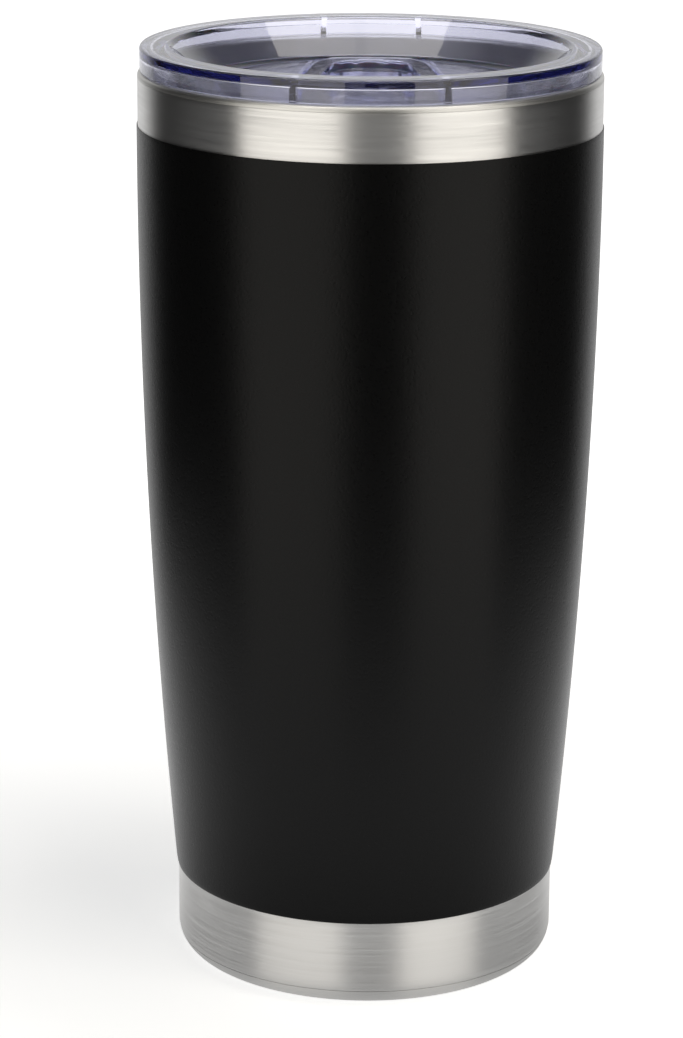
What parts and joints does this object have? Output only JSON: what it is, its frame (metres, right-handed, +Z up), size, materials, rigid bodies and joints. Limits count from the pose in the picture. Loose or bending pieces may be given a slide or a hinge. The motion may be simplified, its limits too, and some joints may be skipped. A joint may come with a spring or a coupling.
{
  "type": "insulated tumbler with lid",
  "caption": "Tapered double-walled vacuum tumbler in powder-coated steel with bare rings at mouth and foot, and a clear press-in lid whose slider opens a drink hole.",
  "frame": {"origin": "centre of the foot, on the surface the tumbler stands on", "axes": "+Z up the tumbler's axis; +Y towards the drink hole; the slider opens towards -Y"},
  "size_m": [0.0862, 0.0862, 0.1752],
  "materials": {
    "brushed_steel": "brushed round the axis",
    "inner_steel": "satin, as drawn and electropolished",
    "powder_coat": "black powder coat, fine texture",
    "clear_plastic": "clear injection-moulded copolyester",
    "silicone": "translucent moulded silicone",
    "foil": "bright rolled foil",
    "getter_pill": "pressed metal powder",
    "glass_solder": "fused glass solder"
  },
  "bodies": {
    "cup": {"outer_shell": "brushed_steel", "powder_coat": "powder_coat", "inner_liner": "inner_steel", "base_cap": "brushed_steel", "vacuum_base": "inner_steel", "solder_seal": "glass_solder", "getter_clip": "inner_steel", "getter": "getter_pill", "radiation_foil": "foil"},
    "lid": {"lid_body": "clear_plastic", "lid_gasket": "silicone"},
    "lid_slider": {"slider": "clear_plastic"}
  },
  "joints": [
    {"name": "lid_lift", "type": "slide", "parent": "cup", "child": "lid", "axis": [0, 0, 1], "range_m": [0, 0.04]},
    {"name": "slider_travel", "type": "slide", "parent": "lid", "child": "lid_slider", "axis": [0, -1, 0], "range_m": [0, 0.013]}
  ]
}
